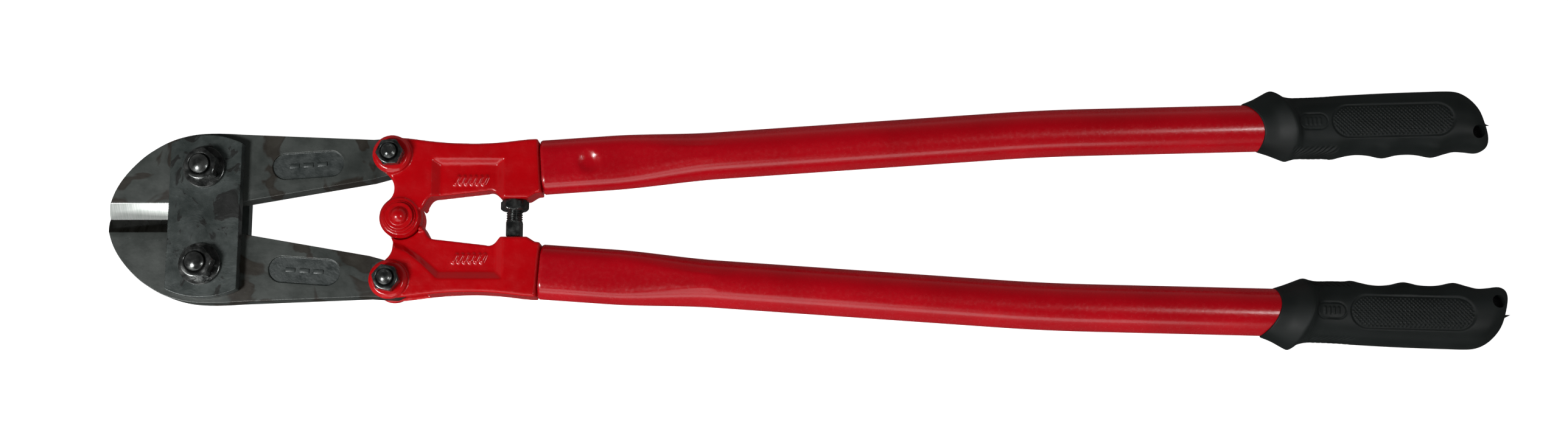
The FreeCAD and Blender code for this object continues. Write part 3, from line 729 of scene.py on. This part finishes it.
# %% The grip's outline
# Each pair is a distance along the handle from the grip's start and a half width there, in millimetres.
# FACE_SIDE is the half thickness, and LAG is how far the inner side lies behind the outer one.
OUTER_SIDE = [
    (-2.4, 13.5), (3.0, 15.6), (8.0, 18.2), (10.6, 19.5), (11.9, 19.8), (13.4, 19.1), (16.1, 17.2),
    (19.9, 16.0), (24.0, 15.5), (38.4, 15.7), (49.2, 16.2), (72.4, 16.9), (95.5, 17.2),
    (107.5, 17.2), (112.0, 16.6), (115.5, 14.9), (118.5, 12.4), (121.2, 9.2), (122.6, 6.6),
]
INNER_SIDE = [
    (4.5, 13.0), (10.0, 14.9), (15.5, 17.1), (18.6, 18.3), (20.0, 18.4), (22.5, 17.7), (26.1, 17.1),
    (33.8, 17.2), (41.0, 17.3), (44.8, 17.7), (49.0, 16.8), (53.9, 15.8), (59.3, 15.4), (65.5, 16.0),
    (70.5, 17.3), (72.9, 17.6),
    (75.5, 17.2), (80.1, 16.2), (87.0, 15.9), (92.5, 16.5), (97.0, 17.6), (99.4, 17.9), (102.0, 17.4),
    (105.5, 16.4), (111.5, 15.1), (117.5, 15.5), (122.3, 16.2), (124.8, 15.8), (126.8, 14.2), (127.8, 11.6),
]
FACE_SIDE = [
    (-2.4, 13.5), (4.0, 15.2), (9.0, 17.6), (12.6, 19.2), (14.2, 19.4), (16.5, 18.6), (20.0, 16.9),
    (25.0, 15.9), (32.0, 15.5), (50.0, 15.3), (104.0, 15.2), (111.0, 14.7), (115.5, 13.8),
    (119.0, 12.6), (121.5, 11.0), (122.6, 9.4),
]
LAG = [
    (-2.4, 6.9), (11.8, 8.0), (16.1, 7.4), (19.9, 6.2), (26.0, 7.4), (40.0, 4.8), (53.0, 1.0), (60.0, 0.0),
    (97.0, 0.0), (103.5, 2.6), (108.5, 6.4), (112.5, 9.4), (116.0, 9.2), (119.0, 7.5), (121.4, 5.9),
    (122.6, 5.0),
]
GRIP_END = 122.6


def along(table, s):
    """A smooth curve through a table of (s, value)."""
    last = len(table) - 1
    if s <= table[0][0]:
        return table[0][1]
    for step in range(last):
        s0, v0 = table[step]
        s1, v1 = table[step + 1]
        if s <= s1:
            before = table[max(step - 1, 0)]
            after = table[min(step + 2, last)]
            start_slope = (v1 - before[1]) / (s1 - before[0]) * (s1 - s0)
            end_slope = (after[1] - v0) / (after[0] - s0) * (s1 - s0)
            t = (s - s0) / (s1 - s0)
            rise = v0 * (1 + 2 * t) * (1 - t) ** 2 + v1 * t * t * (3 - 2 * t)
            return rise + start_slope * t * (1 - t) ** 2 - end_slope * t * t * (1 - t)
    return table[last][1]


# %% Ribs, pad and label on the grip
PAD_S = 74.4
PAD_LENGTH = 65.5
PAD_WIDTH = 18.2
KNURL = 2.2
LABEL_S = 31.5
LABEL_LENGTH = 15.5
LABEL_WIDTH = 8.4
RIB_PITCH = 2.8


def capsule(s, across, centre, length, width):
    """Distance outside (plus) or inside (minus) an oval with round ends, in millimetres."""
    reach = max(abs(s - centre) - (length - width) / 2, 0.0)
    return math.hypot(reach, across) - width / 2


def wave(value):
    """A smooth up-and-down between 0 and 1 with a period of 1."""
    return 0.5 - 0.5 * math.cos(2 * math.pi * value)


def grip_relief(s, across, up):
    """How far the surface is raised or sunk by its moulded detail."""
    inside = capsule(s, across, PAD_S, PAD_LENGTH, PAD_WIDTH)
    depth = -0.65 * ease(0.5 - inside / 1.0)
    if inside < -0.8:
        diamonds = min(wave((s + across) / KNURL), wave((s - across) / KNURL))
        depth += 0.62 * diamonds * ease((-0.8 - inside) / 0.6)
    ring = abs(capsule(s, across, LABEL_S, LABEL_LENGTH, LABEL_WIDTH))
    depth -= 0.34 * ease(1.1 - ring / 0.55)
    for offset in (-3.6, -1.2, 1.2, 3.6):
        dash = capsule(across, s - LABEL_S - offset, 0.0, 4.0, 1.2)
        depth += 0.28 * ease(0.5 - dash / 0.5)
    flank = ease((abs(across) - 12.6) / 2.2)
    if flank > 0:
        fade = flank * ease((s - 20) / 3) * ease((46 - s) / 4)
        depth -= 0.85 * wave((s - 0.9 * abs(up)) / RIB_PITCH) * fade
    return depth


def even_angles(count, width, height, power):
    """Angles whose points are evenly spaced round a rounded-square section."""
    fine = 4000
    lengths = [0.0]
    last = None
    for step in range(fine + 1):
        angle = 2 * math.pi * step / fine
        c, sn = math.cos(angle), math.sin(angle)
        flat = math.copysign(abs(c) ** power, c) * width
        spot = Vector((flat, math.copysign(abs(sn) ** power, sn) * height))
        if last is not None:
            lengths.append(lengths[-1] + (spot - last).length)
        last = spot
    angles = []
    cursor = 0
    for index in range(count + 1):
        want = lengths[-1] * index / count
        while cursor < fine and lengths[cursor + 1] < want:
            cursor += 1
        angles.append(2 * math.pi * cursor / fine)
    return angles


GRIP_AROUND = 260
EVEN = even_angles(GRIP_AROUND, 16.5, 15.4, 2 / 2.7)


def grip_section(s, angle):
    """A point of the grip whose outer side is at s; the inner side lags behind it."""
    turn = EVEN[round(angle / (2 * math.pi) * GRIP_AROUND)]
    c = math.cos(turn)
    sn = math.sin(turn)
    power = 2 / (2.1 + 0.6 * ease((s - 14) / 14))
    lag = along(LAG, s)
    out = along(OUTER_SIDE, s)
    inn = along(INNER_SIDE, s + lag)
    face = along(FACE_SIDE, s)
    across = math.copysign(abs(c) ** power, c) * (out if c > 0 else inn)
    up = math.copysign(abs(sn) ** power, sn) * face
    place = s + lag * (out - across) / (out + inn)
    place += 4.6 * sn * sn * (1 - ease((s - 4) / 30))
    relief = grip_relief(place, across, up)
    size = math.hypot(across, up)
    return place, across * (1 + relief / size), up * (1 + relief / size)


def grip_stations():
    stations = []
    s = -2.4
    while s < GRIP_END - 0.3:
        stations.append(s)
        s += 0.45
    stations.append(GRIP_END)
    return stations


# %% Roll the grips and close their ends
HANG_S = 120.2
HANG_IN = 7.2
HANG_R = 3.5


def grip_from(start):
    """The grip's section shape, moved along the handle to where the grip starts."""
    def section(s, angle):
        place, across, up = grip_section(s, angle)
        return place + start, across, up
    return section


def close_end(piece, side, start):
    """Fill the open far end with rings that shrink to a soft dome."""
    pick(piece)
    middle = handle_point(side, start + GRIP_END + 2.2, -2.0, 0)
    bpy.ops.object.mode_set(mode="EDIT")
    bpy.ops.mesh.select_all(action="DESELECT")
    mesh = bmesh.from_edit_mesh(piece.data)
    for edge in mesh.edges:
        far = all(vertex.co.x > middle.x - 0.03 for vertex in edge.verts)
        edge.select_set(edge.is_boundary and far)
    bmesh.update_edit_mesh(piece.data)
    for shrink, push in ((0.90, 0.42), (0.86, 0.30), (0.75, 0.22), (0.55, 0.12), (0.30, 0.04)):
        bpy.ops.mesh.extrude_edges_move()
        bpy.ops.transform.resize(value=(shrink, shrink, shrink), center_override=middle)
        bpy.ops.transform.translate(value=(push * MM, 0, 0))
    bpy.ops.mesh.merge(type="CENTER")
    bpy.ops.object.mode_set(mode="OBJECT")


def line_mouth(piece, side, start):
    """Turn the mouth's rim inward so that the rubber shows its thickness."""
    pick(piece)
    bpy.ops.object.mode_set(mode="EDIT")
    bpy.ops.mesh.select_all(action="DESELECT")
    mesh = bmesh.from_edit_mesh(piece.data)
    for edge in mesh.edges:
        edge.select_set(edge.is_boundary)
    bmesh.update_edit_mesh(piece.data)
    slope = GRIP_SLOPE if side == "upper" else -GRIP_SLOPE
    centre = handle_point(side, start + 1.0, 0, 0)
    for shrink, push in ((0.985, -0.25), (0.955, -0.05), (0.930, 0.6), (0.925, 6.0)):
        bpy.ops.mesh.extrude_edges_move()
        bpy.ops.transform.resize(value=(1.0, shrink, shrink), center_override=centre)
        bpy.ops.transform.translate(value=(push * MM, push * math.tan(slope) * MM, 0))
    bpy.ops.object.mode_set(mode="OBJECT")


def cut_with(piece, cutter):
    """Cut a piece with another, then throw the cutter away."""
    boolean = piece.modifiers.new("cut", "BOOLEAN")
    boolean.operation = "DIFFERENCE"
    boolean.object = cutter
    boolean.solver = "EXACT"
    pick(piece)
    bpy.ops.object.modifier_apply(modifier=boolean.name)
    bpy.data.objects.remove(cutter, do_unlink=True)


for side, extra in (("upper", 0.0), ("lower", LOWER_EXTRA)):
    start = GRIP_S + extra
    piece = rolled_sheet(side + "_grip_rubber", side, grip_stations(), GRIP_AROUND, grip_from(start))
    close_end(piece, side, start)
    line_mouth(piece, side, start)
    bpy.ops.mesh.primitive_cylinder_add(
        vertices=40, radius=HANG_R * MM, depth=0.06, location=handle_point(side, start + HANG_S, -HANG_IN, 0))
    cut_with(piece, bpy.context.object)
    smooth_by_angle(piece, 50)
    paint(piece, rubber)
    own(piece, side + "_handle", "grip_rubber", side + "_grip")
    print(piece.name, sum(len(face.vertices) - 2 for face in piece.data.polygons), "triangles")

# %% [markdown]
# ## Bolts, nuts and the stop screw
# Nuts are turned as well as forged: a lathe takes their corners off as a cone, and a bolt's end is
# left as a low dome with the tool's rings in it. The bolt ends are lathe work, made here by pulling a
# circle up through a profile ring by ring. A nut is a profile rolled round its axis, and each flat
# cuts the profile back wherever it would stand out, which leaves the turned cone at the corners.

# %% Lathe work
def turned(name, x, y, profile, segments=40):
    """Pull a circle through (radius, height) rings on the Z axis at (x, y) and close it on top."""
    radius, height = profile[0]
    bpy.ops.mesh.primitive_circle_add(vertices=segments, radius=radius * MM, location=at(x, y, height))
    piece = bpy.context.object
    piece.name = name
    settle(piece)
    bpy.ops.object.mode_set(mode="EDIT")
    bpy.ops.mesh.select_all(action="SELECT")
    for next_radius, next_height in profile[1:]:
        bpy.ops.mesh.extrude_edges_move()
        bpy.ops.transform.translate(value=(0, 0, (next_height - height) * MM))
        share = next_radius / radius
        bpy.ops.transform.resize(value=(share, share, 1.0), center_override=at(x, y, next_height))
        radius, height = next_radius, next_height
    bpy.ops.mesh.edge_face_add()
    bpy.ops.mesh.select_all(action="SELECT")
    bpy.ops.mesh.normals_make_consistent(inside=False)
    bpy.ops.object.mode_set(mode="OBJECT")
    smooth_by_angle(piece, 35)
    return piece


def bolt_end(name, x, y, radius, base, top):
    """A domed bolt end with four shallow rings and a centre mark."""
    rise = top - base
    profile = [(radius, base - 0.4), (radius, base)]
    for share in (0.94, 0.84, 0.80, 0.70, 0.64, 0.50, 0.44, 0.28, 0.22, 0.12, 0.05):
        dome = base + rise * (1 - share * share)
        groove = 0.24 if round(share * 100) in (80, 64, 44, 22) else 0.0
        deep = 0.45 if share < 0.15 else 0.0
        profile.append((radius * share, dome + 0.05 - groove - deep))
    return turned(name, x, y, profile)


# %% Faceted lathe work: nuts, heads and washers
def faceted(name, place, rings, sides=0, flats=0.0, turn=0.0, around=96):
    """Roll a closed profile of (radius limit, height) rings; flats cut it wherever it would stand out.

    place(a, b, h) gives the point at (a, b) across the axis and h along it.
    """
    closed = rings + rings[:1]
    bpy.ops.mesh.primitive_grid_add(x_subdivisions=len(closed) - 1, y_subdivisions=around, size=1.0)
    piece = bpy.context.object
    piece.name = name
    for vertex in piece.data.vertices:
        limit, h = closed[round((vertex.co.x + 0.5) * (len(closed) - 1))]
        angle = 2 * math.pi * (vertex.co.y + 0.5)
        reach = limit
        if sides:
            from_flat = (angle % (2 * math.pi / sides)) - math.pi / sides
            reach = min(limit, flats / 2 / math.cos(from_flat))
        angle += math.radians(turn)
        vertex.co = place(reach * math.cos(angle), reach * math.sin(angle), h)
    bpy.ops.object.mode_set(mode="EDIT")
    bpy.ops.mesh.select_all(action="SELECT")
    bpy.ops.mesh.remove_doubles(threshold=0.000002)
    bpy.ops.mesh.normals_make_consistent(inside=False)
    bpy.ops.object.mode_set(mode="OBJECT")
    smooth_by_angle(piece, 24)
    return piece


def upright(x, y):
    return lambda a, b, h: at(x + a, y + b, h)


def nut_rings(bore, flats, low, high, sink):
    """Bore, washer face, sides and a turned top whose cone bites into the corners."""
    half = flats / 2
    corner = half / math.cos(math.pi / 6)
    rings = [(bore, low), (half * 0.95, low), (half * 1.01, low + 0.35), (corner + 0.1, low + 1.0)]
    rings += [(corner + 0.1, high - 1.75), (corner, high - 1.35), (corner * 0.975, high - 0.95)]
    rings += [(corner * 0.945, high - 0.62), (half * 1.03, high - 0.34), (half * 0.985, high - 0.12)]
    rings += [(half * 0.93, high), (bore + sink + 0.25, high), (bore + sink, high - 0.12)]
    rings += [(bore + 0.25, high - sink * 0.9), (bore, high - sink * 0.9 - 0.3)]
    return rings


def washer_rings(bore, radius, low, high):
    return [
        (bore, low), (radius - 0.35, low), (radius - 0.08, low + 0.12), (radius, low + 0.4),
        (radius, high - 0.45), (radius - 0.10, high - 0.15), (radius - 0.40, high),
        (bore + 0.2, high), (bore, high - 0.2),
    ]


# %% Bolts, nuts and washers in place
BODY_OF = {node: body for body, nodes in frame["record"]["behaviour"]["bodies"].items() for node in nodes}


def height_of(node, end):
    return (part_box(node)[end].z - ORIGIN.z) / MM


PINS = {
    "upper_jaw": (0.0, JAW_PIN_Y, 5.0, 1.4, 16.0, 21.0),
    "lower_jaw": (0.0, -JAW_PIN_Y, 5.0, 1.4, 16.0, 9.0),
    "upper_tail": (TAIL_X, TAIL_Y, 4.0, 1.2, 13.0, 4.0),
    "lower_tail": (TAIL_X, -TAIL_Y, 4.0, 1.2, 13.0, -11.0),
}
for pin, (x, y, radius, dome, flats, turn) in PINS.items():
    node = pin + "_bolt"
    top = height_of(node, 1)
    piece = edged_copy(node, node + "_oxide", 0.3)
    piece = joined(piece, [bolt_end(node + "_cap", x, y, radius, top - dome, top - 0.06)])
    paint(piece, bolt_black)
    own(piece, BODY_OF[node], "bolt_black", node)
    node = pin + "_nut"
    rings = nut_rings(radius + 0.1, flats, height_of(node, 0), height_of(node, 1), 0.9)
    piece = faceted(node + "_oxide", upright(x, y), rings, 6, flats, turn)
    paint(piece, bolt_black)
    own(piece, BODY_OF[node], "bolt_black", node)
    node = pin + "_washer"
    if node in BODY_OF:
        span = (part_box(node)[1].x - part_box(node)[0].x) / 2 / MM
        rings = washer_rings(radius + 0.2, span, height_of(node, 0), height_of(node, 1))
        piece = faceted(node + "_oxide", upright(x, y), rings)
        paint(piece, bolt_black)
        own(piece, BODY_OF[node], "bolt_black", node)
print("pins", len(PINS))

# %% [markdown]
# ## The stop screw
# The screw that keeps the edges from clashing has a real thread. A thread is a radius that rises and
# falls along a helix, so a fine tube is rolled and each of its points is set by its height and angle.

# %% Stop screw and lock nut
SCREW_MIDDLE = (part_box("stop_screw")[0].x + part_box("stop_screw")[1].x) / 2
SCREW_X = (SCREW_MIDDLE - ORIGIN.x) / MM
NUT_LOW = (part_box("lock_nut")[0].y - ORIGIN.y) / MM
NUT_HIGH = (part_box("lock_nut")[1].y - ORIGIN.y) / MM
HEAD_LOW = (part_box("stop_screw")[0].y - ORIGIN.y) / MM
HEAD_TOP = HEAD_LOW + 9.2
SCREW_END = (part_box("stop_screw")[1].y - ORIGIN.y) / MM
HEAD_WIDTH = 7.6
HEAD_TURN = 37.0
THREAD_R = 4.5
THREAD_DEPTH = 0.75
PITCH = 1.25


def along_screw(a, b, h):
    return at(SCREW_X + a, h, -b)


def threaded_rod(name, low, high, radius, depth, pitch):
    """A helical thread round the stop screw's axis, from y = low to y = high."""
    rows = int((high - low) / pitch * 10)
    bpy.ops.mesh.primitive_grid_add(x_subdivisions=rows, y_subdivisions=48, size=1.0)
    rod = bpy.context.object
    rod.name = name
    for vertex in rod.data.vertices:
        y = low + (high - low) * (vertex.co.x + 0.5)
        turn = vertex.co.y + 0.5
        phase = (y / pitch - turn) % 1.0
        reach = radius - depth * (1 - abs(2 * phase - 1))
        angle = 2 * math.pi * turn
        vertex.co = along_screw(reach * math.cos(angle), reach * math.sin(angle), y)
    bpy.ops.object.mode_set(mode="EDIT")
    bpy.ops.mesh.select_all(action="SELECT")
    bpy.ops.mesh.remove_doubles(threshold=0.000002)
    bpy.ops.mesh.select_all(action="DESELECT")
    bpy.ops.mesh.select_non_manifold()
    bpy.ops.mesh.fill_holes(sides=0)
    bpy.ops.mesh.select_all(action="SELECT")
    bpy.ops.mesh.normals_make_consistent(inside=False)
    bpy.ops.object.mode_set(mode="OBJECT")
    smooth_by_angle(rod, 50)
    return rod


corner = HEAD_WIDTH / 2 * math.sqrt(2)
head_rings = [
    (0.4, HEAD_LOW), (3.3, HEAD_LOW), (3.9, HEAD_LOW + 0.25), (corner - 0.5, HEAD_LOW + 0.9),
    (corner - 0.15, HEAD_LOW + 1.4), (corner - 0.15, HEAD_TOP - 0.9), (corner - 0.5, HEAD_TOP - 0.35),
    (4.2, HEAD_TOP), (0.4, HEAD_TOP),
]
piece = faceted("stop_screw_oxide", along_screw, head_rings, 4, HEAD_WIDTH, HEAD_TURN)
thread = threaded_rod("stop_thread", HEAD_TOP - 0.3, SCREW_END, THREAD_R, THREAD_DEPTH, PITCH)
piece = joined(piece, [thread])
paint(piece, bolt_black)
own(piece, "stop_screw", "bolt_black", "stop_screw")

rings = nut_rings(THREAD_R + 0.1, 13.2, NUT_LOW, NUT_HIGH, 0.5)
flipped = [(limit, NUT_LOW + NUT_HIGH - h) for limit, h in rings]
piece = faceted("lock_nut_oxide", along_screw, flipped, 6, 13.2, 0.0)
paint(piece, bolt_black)
own(piece, BODY_OF["lock_nut"], "bolt_black", "lock_nut")
print("thread from", round(HEAD_TOP, 2), "to", round(SCREW_END, 2))
